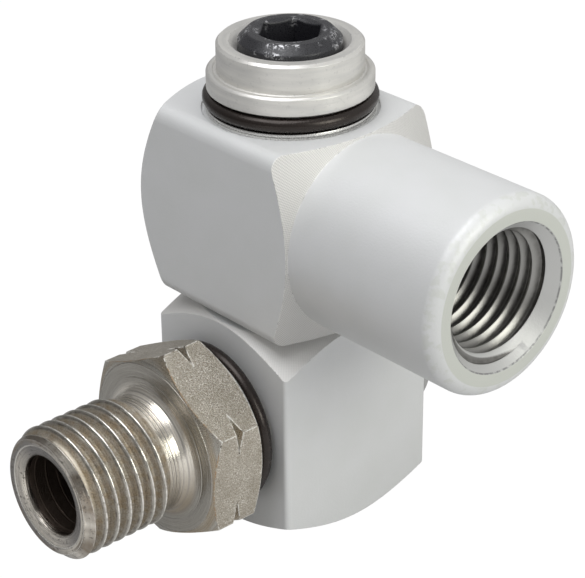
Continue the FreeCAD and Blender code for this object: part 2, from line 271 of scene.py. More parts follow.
def makeSpeckle():
    group, given, result = startGroup(
        "speckle",
        [("Place", "NodeSocketVector", None), ("Scale", "NodeSocketFloat", 4.0),
         ("Detail", "NodeSocketFloat", 2.0), ("Low", "NodeSocketFloat", 0.45),
         ("High", "NodeSocketFloat", 0.6)],
        [("Mask", "NodeSocketFloat")])
    noise = addNode(group, "ShaderNodeTexNoise", {
        "Vector": given["Place"], "Scale": given["Scale"], "Detail": given["Detail"]})
    plug(group, result["Mask"], remap(group, noise.outputs["Fac"], given["Low"], given["High"]))
    return group


# Streaks that run round the axis, as a turning tool leaves them
def makeTurnedStreaks():
    group, given, result = startGroup(
        "turnedStreaks",
        [("Place", "NodeSocketVector", None), ("Around", "NodeSocketFloat", 1.5),
         ("Across", "NodeSocketFloat", 6.0), ("Low", "NodeSocketFloat", 0.42),
         ("High", "NodeSocketFloat", 0.6)],
        [("Mask", "NodeSocketFloat")])
    parts, flat = splitPlace(group, given["Place"])
    around = vectorNode(group, "SCALE", vectorNode(group, "NORMALIZE", flat).outputs[0])
    plug(group, around.inputs["Scale"], given["Around"])
    across = product(group, mathNode(group, "ADD", lengthOf(group, flat), parts["Z"]), given["Across"])
    lifted = addNode(group, "ShaderNodeCombineXYZ", {"Z": across})
    spot = vectorNode(group, "ADD", around.outputs[0], lifted.outputs[0])
    noise = addNode(group, "ShaderNodeTexNoise", {"Vector": spot.outputs[0], "Scale": 1.0, "Detail": 3.0})
    plug(group, result["Mask"], remap(group, noise.outputs["Fac"], given["Low"], given["High"]))
    return group


# How alike the plain and the softened normal are where wear starts and where it is full
wearLevels = (0.99, 0.93)


# Where a piece's edges have been rubbed
def makeEdgeWear():
    group, given, result = startGroup(
        "edgeWear", [("Width", "NodeSocketFloat", 0.0002)], [("Mask", "NodeSocketFloat")])
    soft = addNode(group, "ShaderNodeBevel", {"Radius": given["Width"]}, samples=8)
    flat = addNode(group, "ShaderNodeNewGeometry")
    alike = vectorNode(group, "DOT_PRODUCT", soft.outputs["Normal"], flat.outputs["Normal"])
    plug(group, result["Mask"], remap(group, alike.outputs["Value"], *wearLevels))
    return group


speckleGroup = makeSpeckle()
roundAxisGroup = makeRoundAxis()
turnedStreaksGroup = makeTurnedStreaks()
edgeWearGroup = makeEdgeWear()


def useGroup(tree, group, values):
    return addNode(tree, "ShaderNodeGroup", values, node_tree=group).outputs


def speckle(tree, place, scale, low, high, detail=3.0):
    values = {"Place": place, "Scale": scale, "Detail": detail, "Low": low, "High": high}
    return useGroup(tree, speckleGroup, values)["Mask"]


def turnedStreaks(tree, place, around, across, low=0.42, high=0.6):
    values = {"Place": place, "Around": around, "Across": across, "Low": low, "High": high}
    return useGroup(tree, turnedStreaksGroup, values)["Mask"]


def edgeWear(tree, width):
    return useGroup(tree, edgeWearGroup, {"Width": width * millimetre})["Mask"]


def bumpFrom(tree, height, depth, normal=None):
    values = {"Height": height, "Distance": depth * millimetre, "Strength": 1.0}
    if normal is not None:
        values["Normal"] = normal
    return addNode(tree, "ShaderNodeBump", values).outputs["Normal"]


def softNormal(tree, width):
    return addNode(tree, "ShaderNodeBevel", {"Radius": width * millimetre}, samples=6).outputs["Normal"]


# A material with places in millimetres, read from the axis of its piece
def startSurface(name, centre=(0, 0, 0), turn=(0, 0, 0)):
    material = bpy.data.materials.new(name)
    material.use_nodes = True
    tree = material.node_tree
    place = addNode(tree, "ShaderNodeTexCoord").outputs["Object"]
    scaled = vectorNode(tree, "MULTIPLY", place, (1 / millimetre,) * 3).outputs[0]
    moved = vectorNode(tree, "SUBTRACT", scaled, centre).outputs[0]
    turned = addNode(tree, "ShaderNodeVectorRotate", {"Vector": moved, "Rotation": turn},
                     rotation_type="EULER_XYZ")
    local = turned.outputs[0]
    axis = useGroup(tree, roundAxisGroup, {"Place": local})
    return SimpleNamespace(
        material=material, tree=tree, place=local,
        radius=axis["Radius"], along=axis["Along"], angle=axis["Angle"])


def finishSurface(surface, colour, metallic, roughness, normal):
    inputs = surface.tree.nodes["Principled BSDF"].inputs
    values = {"Base Color": colour, "Metallic": metallic, "Roughness": roughness, "Normal": normal}
    for key, value in values.items():
        plug(surface.tree, inputs[key], value)
    return surface.material


# Port of the upper body: true thread, countersink and flat mouth
port = {
    "root": 6.55,
    "crest": 5.74,
    "turnsFrom": 12.4,
    "turns": 13,
    "rounding": 0.06,
    "drillEnd": 14.60,
    "threadEnd": 16.40,
    "threadStart": 27.86,
    "fadeSlope": 0.5,
    "runOut": 0.1,
    "joinGap": 0.05,
    "mouth": 28.60,
    "mouthRadius": 7.28,
    "faceRadius": 8.5,
}

# Where the port's surfaces change. As on the nipple, a pair blends from 0 to 1, and a band also has
# a soft edge.
portZones = {
    "faceAlong": (port["mouth"] - 0.03, port["mouth"] - 0.01),
    "faceRadius": (port["faceRadius"], port["faceRadius"] - 0.1),
    "blotchAlong": (port["mouth"] - 1.3, port["mouth"] - 1.0),
    "blotchRadius": (port["faceRadius"] - 0.1, port["faceRadius"] + 0.1),
    "insideAlong": (port["drillEnd"] - 0.3, port["drillEnd"] - 0.2),
    "insideRadius": (port["mouthRadius"], port["mouthRadius"] - 0.02),
    # Painted shade grows towards the roots of the port's thread grooves
    "grooveShadeRadius": (port["crest"] + 0.21, port["root"] - 0.20),
    "leadDepth": (-0.06, -0.03),
    "rimBand": (port["mouthRadius"] - 0.12, port["mouthRadius"] - 0.04, 0.04),
}

# In the materials below a noise is given as scale, low, high and, where it isn't 3, detail.
# Streaks are given as around, across and, where they need their own, low and high.

# Blasted aluminium, with a fine hatch on the turned cones
aluminium = {
    "colour": (0.80, 0.805, 0.81),
    "shade": (0.775, 0.783, 0.78),
    "turnedColour": (0.735, 0.725, 0.705),
    "rubbed": (0.93, 0.93, 0.92),
    "speck": (0.22, 0.22, 0.22),
    # The three port colours below are painted shade inside the port: the inside, the groove roots and the
    # countersink
    "portShadedColour": (0.34, 0.335, 0.32),
    "portGrooveShade": (0.17, 0.165, 0.155),
    "leadColour": (0.62, 0.62, 0.61),
    "mouthColour": (0.67, 0.685, 0.635),
    "metallic": 0.25,
    "brightMetallic": 0.3,
    "portMetallic": (0.8, 0.5),
    "roughness": (0.45, 0.57),
    "portRoughness": (0.30, 0.45),
    "grain": (5.0, 0.25, 0.75),
    "grainDepth": 0.007,
    "cloud": (0.22, 0.3, 0.7, 2.0),
    "brightPatches": (1.6, 0.44, 0.56, 4.0),
    "darkSpecks": (3.4, 0.60, 0.66),
    "mouthBlotches": (1.1, 0.50, 0.60, 5.0),
    "portPatches": (1.2, 0.35, 0.65),
    "portRimSpecks": (2.4, 0.35, 0.55, 4.0),
    "hatchPitch": 0.27,
    "hatchTurns": 160,
    "hatchLevels": (-0.3, 0.6),
    "hatchDepth": 0.012,
    "hatchDarkness": 0.30,
    "coneSlack": 0.03,
    "coneBlur": 0.02,
    "rubbedWidth": 0.16,
    "edge": 0.11,
}

# A body's axis, and its cones. Each cone falls back from a flat end: which way, radius and reach
# of the flat, angle in degrees.
upperBody = {
    "centre": (0, 0, layout["portAxisHeight"]),
    "turn": (0, math.radians(-90), 0),
    "cones": [
        {"way": 1, "radius": 9.68, "reach": 10.15, "angle": 29.5},
        {"way": -1, "radius": 8.3, "reach": 12.4, "angle": 39.0},
    ],
    "hatching": 1.0,
    "hasPort": True,
}
lowerBody = {
    "centre": (0, 0, 0),
    "turn": (0, 0, 0),
    "cones": [
        {"way": 1, "radius": 9.325, "reach": 22.45, "angle": 35.5},
        {"way": -1, "radius": 8.325, "reach": 0.0, "angle": 30.0},
    ],
    "hatching": 0.3,
    "hasPort": False,
}


def coneMask(surface, cones):
    tree = surface.tree
    slack = aluminium["coneSlack"]
    blur = aluminium["coneBlur"]
    turned = 0.0
    for cone in cones:
        along = product(tree, surface.along, cone["way"])
        outward = mathNode(tree, "SUBTRACT", surface.radius, cone["radius"])
        past = mathNode(tree, "ADD", along, product(tree, outward, math.tan(math.radians(cone["angle"]))))
        onCone = product(
            tree,
            remap(tree, past, cone["reach"] - slack - blur, cone["reach"] - slack),
            remap(tree, surface.radius, cone["radius"] - blur, cone["radius"]),
            remap(tree, along, cone["reach"] + slack, cone["reach"] + slack - blur))
        turned = mathNode(tree, "MAXIMUM", onCone, turned)
    return turned


def hatchDots(surface, turned, strength):
    tree = surface.tree
    across = product(tree, surface.radius, math.tau / aluminium["hatchPitch"])
    around = product(tree, surface.angle, aluminium["hatchTurns"])
    oneWay = mathNode(tree, "SINE", mathNode(tree, "ADD", across, around))
    otherWay = mathNode(tree, "SINE", mathNode(tree, "SUBTRACT", across, around))
    crossed = remap(tree, product(tree, oneWay, otherWay), *aluminium["hatchLevels"])
    return product(tree, turned, crossed, strength)


# Inside the port the cut metal is bare. Its colour is painted darker as shade, darkest in patches towards
# the roots of the grooves and least dark on the countersink
def dressPort(surface, colour, metallic, rough):
    tree = surface.tree
    place = surface.place
    radius = surface.radius
    along = surface.along
    onFace = product(
        tree, remap(tree, along, *portZones["faceAlong"]), remap(tree, radius, *portZones["faceRadius"]))
    blotch = product(
        tree, remap(tree, along, *portZones["blotchAlong"]), remap(tree, radius, *portZones["blotchRadius"]),
        speckle(tree, place, *aluminium["mouthBlotches"]))
    inside = product(
        tree, remap(tree, radius, *portZones["insideRadius"]), remap(tree, along, *portZones["insideAlong"]))
    # Painted shade in patches towards the roots of the grooves
    stainAndShade = product(
        tree, spread(tree, speckle(tree, place, *aluminium["portPatches"]), 0.6, 1.0),
        remap(tree, radius, *portZones["grooveShadeRadius"]))
    countersink = mathNode(tree, "ADD", radius, port["mouth"] - port["mouthRadius"])
    lead = remap(tree, mathNode(tree, "SUBTRACT", along, countersink), *portZones["leadDepth"])
    rim = product(
        tree, band(tree, radius, *portZones["rimBand"]), speckle(tree, place, *aluminium["portRimSpecks"]))
    # The colour of the inside is painted shade, lighter on the countersink
    bare = layOver(tree, aluminium["portShadedColour"], [
        (stainAndShade, aluminium["portGrooveShade"]),
        (lead, aluminium["leadColour"]),
        (product(tree, rim, 0.8), aluminium["speck"]),
    ])
    colour = layOver(tree, colour, [
        (onFace, aluminium["mouthColour"]),
        (product(tree, blotch, 0.5), aluminium["mouthColour"]),
        (inside, bare),
    ])
    bareMetallic = product(tree, inside, spread(tree, lead, *aluminium["portMetallic"]))
    metallic = mathNode(tree, "MAXIMUM", metallic, bareMetallic)
    bareRough = spread(tree, lead, *aluminium["portRoughness"])
    rough = addNode(tree, "ShaderNodeMix", {"Factor": inside, "A": rough, "B": bareRough})
    return colour, metallic, rough.outputs["Result"]


def makeAluminium(name, body):
    surface = startSurface(name, body["centre"], body["turn"])
    tree = surface.tree
    place = surface.place
    grain = speckle(tree, place, *aluminium["grain"])
    cloud = speckle(tree, place, *aluminium["cloud"])
    turned = coneMask(surface, body["cones"])
    dots = hatchDots(surface, turned, body["hatching"])
    rubbed = edgeWear(tree, aluminium["rubbedWidth"])
    bright = product(tree, rubbed, speckle(tree, place, *aluminium["brightPatches"]))
    specks = product(tree, rubbed, speckle(tree, place, *aluminium["darkSpecks"]))
    colour = layOver(tree, aluminium["colour"], [
        (cloud, aluminium["shade"]),
        (turned, aluminium["turnedColour"]),
        (product(tree, dots, aluminium["hatchDarkness"]), aluminium["speck"]),
        (product(tree, bright, 0.8), aluminium["rubbed"]),
        (product(tree, specks, 0.75), aluminium["speck"]),
    ])
    rough = spread(tree, grain, *aluminium["roughness"])
    brightMetallic = product(tree, bright, aluminium["brightMetallic"])
    metallic = mathNode(tree, "ADD", aluminium["metallic"], brightMetallic)
    if body["hasPort"]:
        colour, metallic, rough = dressPort(surface, colour, metallic, rough)
    pressed = product(tree, dots, aluminium["hatchDepth"] / aluminium["grainDepth"])
    height = mathNode(tree, "SUBTRACT", grain, pressed)
    normal = bumpFrom(tree, height, aluminium["grainDepth"], softNormal(tree, aluminium["edge"]))
    return finishSurface(surface, colour, metallic, rough, normal)


# Collar and stem top, turned and left bare
turnedAluminium = {
    "colour": (0.765, 0.75, 0.715),
    "shade": (0.66, 0.65, 0.625),
    "speck": (0.20, 0.20, 0.20),
    "metallic": 0.55,
    "roughness": (0.32, 0.42),
    "fineLines": (2.0, 13.0, 0.35, 0.65),
    "broadLines": (1.6, 1.6, 0.35, 0.65),
    "brightPatches": (1.3, 0.42, 0.55, 4.0),
    "chips": (3.2, 0.62, 0.67),
    "lineDepth": 0.004,
    "rubbedWidth": 0.10,
    "edge": 0.05,
}


def makeTurnedAluminium(name):
    surface = startSurface(name)
    tree = surface.tree
    place = surface.place
    lines = turnedStreaks(tree, place, *turnedAluminium["fineLines"])
    broad = turnedStreaks(tree, place, *turnedAluminium["broadLines"])
    rubbed = edgeWear(tree, turnedAluminium["rubbedWidth"])
    worn = speckle(tree, place, *turnedAluminium["brightPatches"])
    chips = speckle(tree, place, *turnedAluminium["chips"])
    colour = layOver(tree, turnedAluminium["colour"], [
        (broad, turnedAluminium["shade"]),
        (product(tree, rubbed, worn, 0.8), aluminium["rubbed"]),
        (product(tree, chips, spread(tree, rubbed, 0.12, 0.9)), turnedAluminium["speck"]),
    ])
    rough = spread(tree, lines, *turnedAluminium["roughness"])
    normal = bumpFrom(tree, lines, turnedAluminium["lineDepth"], softNormal(tree, turnedAluminium["edge"]))
    return finishSurface(surface, colour, turnedAluminium["metallic"], rough, normal)


# Nickel-plated steel of the nipple
nickel = {
    "plain": (0.46, 0.435, 0.39),
    "shadeShare": 0.84,
    "pale": (0.60, 0.58, 0.53),
    # A bright colour: a painted highlight on the thread crests, on glints of the hexagon flats and on the
    # line round the end's inner rim; it also brightens the rubbed end lip
    "crest": (0.90, 0.87, 0.81),
    # A painted highlight, on the neck and on the end
    "paintedHighlight": (0.95, 0.89, 0.79),
    # Chips and a painted highlight along the hexagon's corners
    "chipAndHighlight": (0.98, 0.96, 0.91),
    # Dark grey: the neck's scored lines, and painted shade on the end
    "dullAndShade": (0.27, 0.255, 0.25),
    # The brown of the thread valleys; on the neck's low side it is painted shade
    "valley": (0.40, 0.325, 0.23),
    "stainAndShade": (0.30, 0.235, 0.17),
    "dark": (0.10, 0.085, 0.07),
    "rust": (0.42, 0.25, 0.12),
    # Painted shade inside the bore
    "bore": (0.085, 0.065, 0.052),
    "flatLow": (0.37, 0.325, 0.26),
    "flatHigh": (0.57, 0.525, 0.445),
    "fineGrain": (8.0, 0.35, 0.68),
    "coarsePatches": (1.3, 0.35, 0.7),
    "pits": (5.5, 0.62, 0.69),
    "fineStreaks": (1.4, 15.0),
    "broadStreaks": (1.3, 2.2),
    "threadGrit": (8.0, 0.46, 0.60, 4.0),
    "threadChips": (1.9, 0.36, 0.56, 4.0),
    "endStreaks": (1.5, 0.3, 0.58, 0.42),
    "endSpecks": (3.0, 0.60, 0.66),
    "flatSand": (7.0, 0.38, 0.62, 5.0),
    # Glints on the flats are painted; the corner chips and dirt also paint a broken highlight and shade
    # along the corners
    "flatGlints": (9.0, 0.55, 0.61),
    "flatDimness": (0.42, 0.42, 0.60),
    "cornerChipsAndHighlight": (2.4, 0.40, 0.47, 4.0),
    "cornerDirtAndShade": (3.1, 0.50, 0.56),
    "rustSpots": (1.8, 0.42, 0.55),
    "threadRoughness": (0.20, 0.32),
    "valleyRoughness": (-0.07, 0.25),
    "hexRoughness": (0.24, 0.36),
    "sandRoughness": (0.18, 0.02),
    "grainDepth": 0.012,
    "threadRubbed": 0.12,
    "hexRubbed": 0.24,
    "edge": 0.06,
}

# Where the nipple's surfaces change, along its axis and by radius. A pair blends from 0 to 1.
# A band holds 1 between its first two numbers, and the third is its soft edge.
# Each side is a direction across the axis, lines and rings have a pitch, and flatTurn is in degrees.
nippleZones = {
    "neckBand": (18.5, 20.9, 0.2),
    "neckRadius": (7.0, 6.6),
    # The neck's low side, where its painted shade lies
    "neckLow": (1.5, -3.5),
    "neckLines": 0.40,
    "threadBand": (21.0, 29.9, 0.25),
    "valleyRadius": (6.44, 6.15),
    # Where the painted line of shade lies on the thread flanks
    "shoulderShadeBand": (6.28, 6.40, 0.05),
    "crestRadius": (6.51, 6.56),
    "fineLines": 0.19,
    "chamferAlong": (29.7, 29.9),
    "chamferRadius": (5.44, 5.50),
    "lipAlong": (29.9, 30.1),
    "endAlong": (30.1, 30.3),
    "lowSide": (-0.72, -0.70),
    "lowSideBlend": (-1.2, 3.0),
    "rightSide": (0.98, 0.20),
    "rightSideBlend": (-1.5, 4.0),
    "rimRadius": (5.14, 5.22),
    # Where the painted bright line lies round the end's inner rim
    "rimHighlightBand": (5.12, 5.20, 0.03),
    "funnelRadius": (5.14, 5.06),
    # Inside these limits the bore is painted dark as shade
    "boreRadius": (4.03, 4.01),
    "boreAlong": (30.72, 30.62),
    "hexEdgeBand": (17.7, 18.15, 0.1),
    "hexCornerAlong": (17.7, 17.5),
    "hexRings": 0.17,
    "flatTurn": 55.4,
    "flatReach": 8.88,
}


# How far a place lies in one direction square to the axis
def sideways(surface, x, y):
    return vectorNode(surface.tree, "DOT_PRODUCT", surface.place, (x, y, 0)).outputs["Value"]


def startNickel(name, edgeWidth):
    surface = startSurface(name, (0, 0, layout["nippleAxisHeight"]), (math.radians(-90), 0, 0))
    tree = surface.tree
    place = surface.place
    surface.fine = speckle(tree, place, *nickel["fineGrain"])
    surface.coarse = speckle(tree, place, *nickel["coarsePatches"])
    surface.streaks = turnedStreaks(tree, place, *nickel["fineStreaks"])
    surface.broad = turnedStreaks(tree, place, *nickel["broadStreaks"])
    surface.rubbed = edgeWear(tree, edgeWidth)
    surface.colour = layOver(tree, nickel["plain"], [
        (surface.fine, darker(nickel["plain"], nickel["shadeShare"])),
        (product(tree, surface.streaks, 0.55), nickel["pale"]),
    ])
    return surface


def finishNickel(surface, colour, metallic, rough, height):
    tree = surface.tree
    pits = product(tree, speckle(tree, surface.place, *nickel["pits"]), surface.coarse, 0.45)
    colour = mixColours(tree, pits, colour, nickel["dark"])
    normal = bumpFrom(tree, height, nickel["grainDepth"], softNormal(tree, nickel["edge"]))
    return finishSurface(surface, colour, metallic, rough, normal)


# Polished neck, scored by the tool, with a painted highlight that fades towards its low side, where it has
# painted brown shade
def dressNeck(surface, colour):
    tree = surface.tree
    neck = product(
        tree, band(tree, surface.along, *nippleZones["neckBand"]),
        remap(tree, surface.radius, *nippleZones["neckRadius"]))
    low = remap(tree, sideways(surface, 0, 1), *nippleZones["neckLow"])
    lines = remap(tree, waves(tree, surface.along, nippleZones["neckLines"]), 0.1, 0.9)
    scored = product(tree, neck, lines, spread(tree, surface.streaks, 0.35, 1.0))
    colour = layOver(tree, colour, [
        # Painted highlight away from the low side, painted brown shade on the low side
        (product(tree, neck, spread(tree, low, 0.65, 0.1)), nickel["paintedHighlight"]),
        (product(tree, neck, low, 0.7), nickel["valley"]),
        (product(tree, scored, 0.5), nickel["dullAndShade"]),
    ])
    return colour, scored


# Brown rough valleys, thin crests with a painted highlight, and a painted line of shade on the flanks below
# the crests
def dressThread(surface, colour, deep, grit, chipped):
    tree = surface.tree
    wound = band(tree, surface.along, *nippleZones["threadBand"])
    deep = product(tree, wound, deep)
    high = remap(tree, surface.radius, *nippleZones["crestRadius"])
    shoulderShade = band(tree, surface.radius, *nippleZones["shoulderShadeBand"])
    colour = layOver(tree, colour, [
        (product(tree, deep, spread(tree, surface.coarse, 0.35, 1.0)), nickel["valley"]),
        (product(tree, deep, grit, 0.40), nickel["dark"]),
        # Painted highlight on the crests, varied by random chips
        (product(tree, wound, high, spread(tree, chipped, 0.15, 1.0)), nickel["crest"]),
        # Painted shade as a dark line on the flanks below the crests
        (product(tree, shoulderShade, wound, surface.coarse, 0.7), nickel["dark"]),
    ])
    return colour, deep


# The end has a painted highlight on its low side and along one side of its rim and chamfer, and painted
# shade elsewhere
def dressEnd(surface, colour, chipped):
    tree = surface.tree
    radius = surface.radius
    along = surface.along
    end = remap(tree, along, *nippleZones["endAlong"])
    lowSide = remap(tree, sideways(surface, *nippleZones["lowSide"]), *nippleZones["lowSideBlend"])
    rightSide = remap(tree, sideways(surface, *nippleZones["rightSide"]), *nippleZones["rightSideBlend"])
    funnel = product(tree, end, remap(tree, radius, *nippleZones["funnelRadius"]))
    rim = product(tree, end, remap(tree, radius, *nippleZones["rimRadius"]))
    chamfer = product(
        tree, remap(tree, along, *nippleZones["chamferAlong"]),
        remap(tree, radius, *nippleZones["chamferRadius"]))
    stretch = turnedStreaks(tree, surface.place, *nickel["endStreaks"])
    # Where the painted highlight lies: the funnel's low side, one side of the rim and streaks on that side
    # of the chamfer
    shine = mathNode(
        tree, "MAXIMUM", product(tree, funnel, lowSide),
        product(tree, rim, spread(tree, chamfer, 1.0, 0.0), rightSide))
    shine = mathNode(tree, "MAXIMUM", shine, product(tree, chamfer, stretch, rightSide))
    stained = product(tree, chamfer, spread(tree, stretch, 1.0, 0.0), spread(tree, surface.coarse, 0.5, 0.9))
    specks = speckle(tree, surface.place, *nickel["endSpecks"])
    lip = remap(tree, along, *nippleZones["lipAlong"])
    # A painted highlight as a thin bright line round the inner rim
    rimHighlight = band(tree, radius, *nippleZones["rimHighlightBand"])
    # Painted shade down the bore
    bore = product(
        tree, remap(tree, radius, *nippleZones["boreRadius"]), remap(tree, along, *nippleZones["boreAlong"]))
    return layOver(tree, colour, [
        # Painted shade on the funnel and on the far side of the rim, then the painted highlight
        (product(tree, funnel, 0.85), nickel["dullAndShade"]),
        (product(tree, rim, spread(tree, rightSide, 1.0, 0.0), 0.75), nickel["dullAndShade"]),
        (product(tree, shine, spread(tree, surface.broad, 0.55, 1.0)), nickel["paintedHighlight"]),
        (stained, nickel["stainAndShade"]),
        (product(tree, end, surface.streaks, 0.22), nickel["dark"]),
        (product(tree, end, specks, 0.6), nickel["dark"]),
        (product(tree, surface.rubbed, lip, spread(tree, chipped, 0.3, 1.0)), nickel["crest"]),
        (product(tree, end, rimHighlight, 0.8), nickel["crest"]),
        (bore, nickel["bore"]),
    ])


def makeNickelThread(name):
    surface = startNickel(name, nickel["threadRubbed"])
    tree = surface.tree
    grit = speckle(tree, surface.place, *nickel["threadGrit"])
    chipped = speckle(tree, surface.place, *nickel["threadChips"])
    valley = remap(tree, surface.radius, *nippleZones["valleyRadius"])
    colour, scored = dressNeck(surface, surface.colour)
    colour, deep = dressThread(surface, colour, valley, grit, chipped)
    colour = dressEnd(surface, colour, chipped)
    rough = mathNode(
        tree, "ADD", spread(tree, surface.fine, *nickel["threadRoughness"]),
        spread(tree, deep, *nickel["valleyRoughness"]))
    height = product(tree, scored, -0.8)
    for share in (
            product(tree, surface.fine, spread(tree, deep, 0.3, 1.4)),
            product(tree, deep, grit, 1.3),
            product(tree, waves(tree, surface.along, nippleZones["fineLines"]), 0.22),
            product(tree, surface.streaks, 0.9)):
        height = mathNode(tree, "ADD", height, share)
    return finishNickel(surface, colour, 1.0, rough, height)


# Hexagon: sandy flats with painted glints, corners with chips and a painted broken highlight and shade,
# ringed face, rust along the front edge
def makeNickelHexagon(name):
    surface = startNickel(name, nickel["hexRubbed"])
    tree = surface.tree
    place = surface.place
    reach = 0.0
    for number in range(3):
        turn = math.radians(nippleZones["flatTurn"] + 60 * number)
        side = mathNode(tree, "ABSOLUTE", sideways(surface, math.cos(turn), math.sin(turn)))
        reach = mathNode(tree, "MAXIMUM", reach, side)
    flat = remap(tree, reach, nippleZones["flatReach"] - 0.03, nippleZones["flatReach"] - 0.01)
    turned = spread(tree, flat, 1.0, 0.0)
    sand = speckle(tree, place, *nickel["flatSand"])
    glint = speckle(tree, place, *nickel["flatGlints"])
    dim = speckle(tree, place, *nickel["flatDimness"])
    # Along the corners, chips and dirt that also paint a broken highlight and shade
    corner = product(tree, surface.rubbed, remap(tree, surface.along, *nippleZones["hexCornerAlong"]))
    chips = product(tree, corner, speckle(tree, place, *nickel["cornerChipsAndHighlight"]))
    dirtAndShade = product(tree, corner, speckle(tree, place, *nickel["cornerDirtAndShade"]))
    rust = product(
        tree, band(tree, surface.along, *nippleZones["hexEdgeBand"]), surface.rubbed,
        speckle(tree, place, *nickel["rustSpots"]))
    colour = layOver(tree, surface.colour, [
        (product(tree, turned, surface.broad, 0.75), nickel["valley"]),
        (flat, mixColours(tree, sand, nickel["flatLow"], nickel["flatHigh"])),
        (product(tree, flat, dim, 0.4), nickel["flatLow"]),
        # Painted glints on the flats
        (product(tree, flat, glint, spread(tree, dim, 0.85, 0.5)), nickel["crest"]),
        (rust, nickel["rust"]),
        (dirtAndShade, nickel["dark"]),
        (chips, nickel["chipAndHighlight"]),
    ])
    # The chips lose their metal look, so the painted highlight stays white
    metallic = spread(tree, chips, 1.0, 0.1)
    sandy = product(tree, flat, spread(tree, sand, *nickel["sandRoughness"]))
    rough = mathNode(tree, "ADD", spread(tree, surface.fine, *nickel["hexRoughness"]), sandy)
    rings = mathNode(
        tree, "ADD", product(tree, waves(tree, surface.radius, nippleZones["hexRings"]), 0.45),
        product(tree, surface.streaks, 1.4))
    grain = mathNode(tree, "ADD", product(tree, surface.fine, 0.4), product(tree, flat, sand, 1.9))
    height = mathNode(tree, "ADD", grain, product(tree, turned, rings))
    return finishNickel(surface, colour, metallic, rough, height)


# Bright washers and the steel collar at the back
steel = {
    "grain": (6.0, 0.3, 0.7),
    "grainDepth": 0.0007,
    "shadeShare": 0.92,
}
washers = {"colour": (0.75, 0.74, 0.72), "roughness": (0.20, 0.33)}
rearCollar = {"colour": (0.55, 0.55, 0.54), "roughness": (0.30, 0.43)}


def makeSteel(name, kind):
    surface = startSurface(name)
    tree = surface.tree
    grain = speckle(tree, surface.place, *steel["grain"])
    colour = mixColours(tree, grain, kind["colour"], darker(kind["colour"], steel["shadeShare"]))
    rough = spread(tree, grain, *kind["roughness"])
    return finishSurface(surface, colour, 1.0, rough, bumpFrom(tree, grain, steel["grainDepth"]))


# Black oxide on the screws, rubbed bright along the edges
blackOxide = {
    "colour": (0.012, 0.012, 0.015),
    "pale": (0.028, 0.028, 0.033),
    "worn": (0.62, 0.62, 0.64),
    "wornDepth": (1.2, 0.9),
    "wornPatches": (0.6, 0.50, 0.58),
    "wornSpecks": (4.0, 0.48, 0.58),
    "roughness": (0.24, 0.40),
    "wornMetallic": 0.9,
    "specular": 0.6,
    "grain": (8.0, 0.3, 0.7),
    "grainDepth": 0.01,
    "edge": 0.3,
}

# A screw's axis, how far along it the face lies, and its rings of wear as radius and width
plugScrew = {
    "centre": (0, 0, 0),
    "turn": (0, 0, 0),
    "face": 50.13,
    "rings": [(4.16, 0.45), (3.25, 0.3), (4.95, 0.3)],
}
rearScrew = {
    "centre": (0, 0, layout["nippleAxisHeight"]),
    "turn": (math.radians(90), 0, 0),
    "face": 12.97,
    "rings": [(5.5, 0.3)],
}


def makeBlackOxide(name, screw):
    surface = startSurface(name, screw["centre"], screw["turn"])
    tree = surface.tree
    place = surface.place
    grain = speckle(tree, place, *blackOxide["grain"])
    wear = 0.0
    for ringRadius, width in screw["rings"]:
        apart = mathNode(tree, "ABSOLUTE", mathNode(tree, "SUBTRACT", surface.radius, ringRadius))
        wear = mathNode(tree, "MAXIMUM", wear, remap(tree, apart, width, 0.0))
    low, high = (screw["face"] - depth for depth in blackOxide["wornDepth"])
    patches = speckle(tree, place, *blackOxide["wornPatches"])
    specks = speckle(tree, place, *blackOxide["wornSpecks"])
    wear = product(tree, wear, remap(tree, surface.along, low, high), patches, specks)
    colour = layOver(tree, blackOxide["colour"], [(grain, blackOxide["pale"]), (wear, blackOxide["worn"])])
    rough = spread(tree, grain, *blackOxide["roughness"])
    normal = bumpFrom(tree, grain, blackOxide["grainDepth"], softNormal(tree, blackOxide["edge"]))
    tree.nodes["Principled BSDF"].inputs["Specular IOR Level"].default_value = blackOxide["specular"]
    return finishSurface(surface, colour, product(tree, wear, blackOxide["wornMetallic"]), rough, normal)


# Rubber and plastic. The sheen is the colour that tints the highlights.
rubber = {
    "cloud": (1.5, 0.3, 0.7),
    "grain": (5.0, 0.3, 0.7, 2.0),
    "grainDepth": 0.004,
    "shadeShare": 0.6,
}
ringRubber = {"colour": (0.012, 0.008, 0.007), "roughness": (0.22, 0.34), "sheen": (1.0, 0.90, 0.84)}
sealRubber = {"colour": (0.03, 0.03, 0.03), "roughness": (0.45, 0.57), "sheen": (1.0, 1.0, 1.0)}
washerPlastic = {"colour": (0.78, 0.77, 0.72), "roughness": (0.40, 0.52), "sheen": (1.0, 1.0, 1.0)}


def makeRubber(name, kind):
    surface = startSurface(name)
    tree = surface.tree
    cloud = speckle(tree, surface.place, *rubber["cloud"])
    grain = speckle(tree, surface.place, *rubber["grain"])
    colour = mixColours(tree, cloud, kind["colour"], darker(kind["colour"], rubber["shadeShare"]))
    rough = spread(tree, cloud, *kind["roughness"])
    tree.nodes["Principled BSDF"].inputs["Specular Tint"].default_value = (*kind["sheen"], 1.0)
    return finishSurface(surface, colour, 0.0, rough, bumpFrom(tree, grain, rubber["grainDepth"]))


